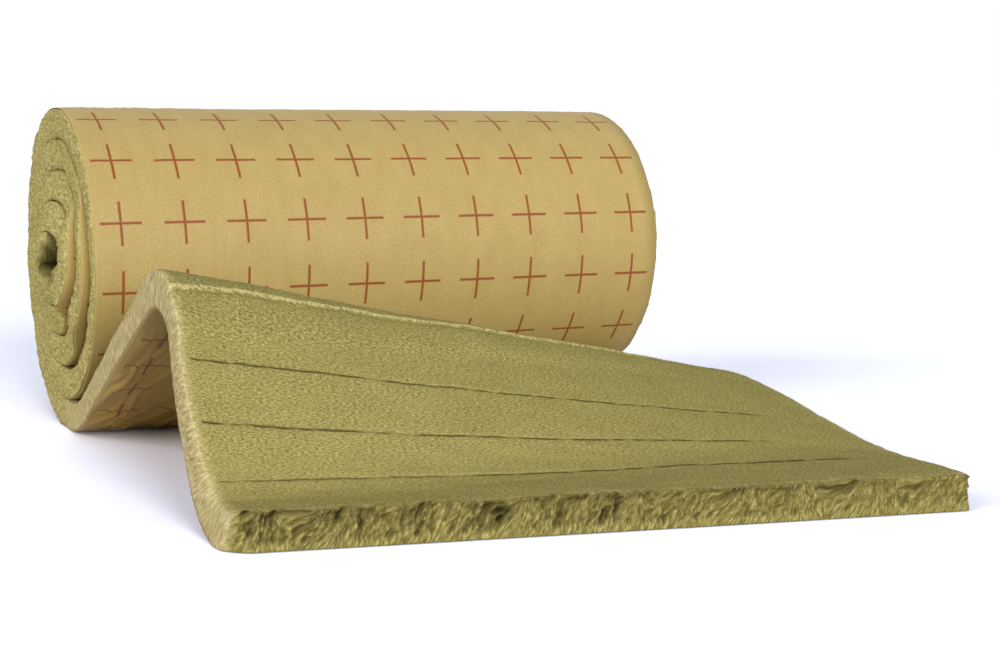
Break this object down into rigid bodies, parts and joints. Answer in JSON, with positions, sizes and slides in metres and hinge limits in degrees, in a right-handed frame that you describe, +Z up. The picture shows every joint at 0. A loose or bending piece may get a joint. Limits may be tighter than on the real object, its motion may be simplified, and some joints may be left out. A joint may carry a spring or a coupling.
{
  "type": "insulation roll",
  "caption": "Roll of paper-faced stone wool insulation mat lying on its side, with its free end drawn out over the floor in a tapering hump.",
  "frame": {"origin": "on the floor at mid-width, on the flat stretch of paper where the free end leaves the roll, just in front of the roll's axis", "axes": "+X along the roll's axis to the right, -Y towards the front edge of the free end, +Z up"},
  "size_m": [1.0321, 1.3993, 0.54],
  "materials": {
    "stone_wool": "matt fibrous wool, olive brown",
    "kraft_paper": "matt brown kraft paper printed with a grid of red-brown crosses"
  },
  "bodies": {
    "root": {"wool_mat": "stone_wool", "kraft_facing": "kraft_paper"}
  },
  "joints": []
}
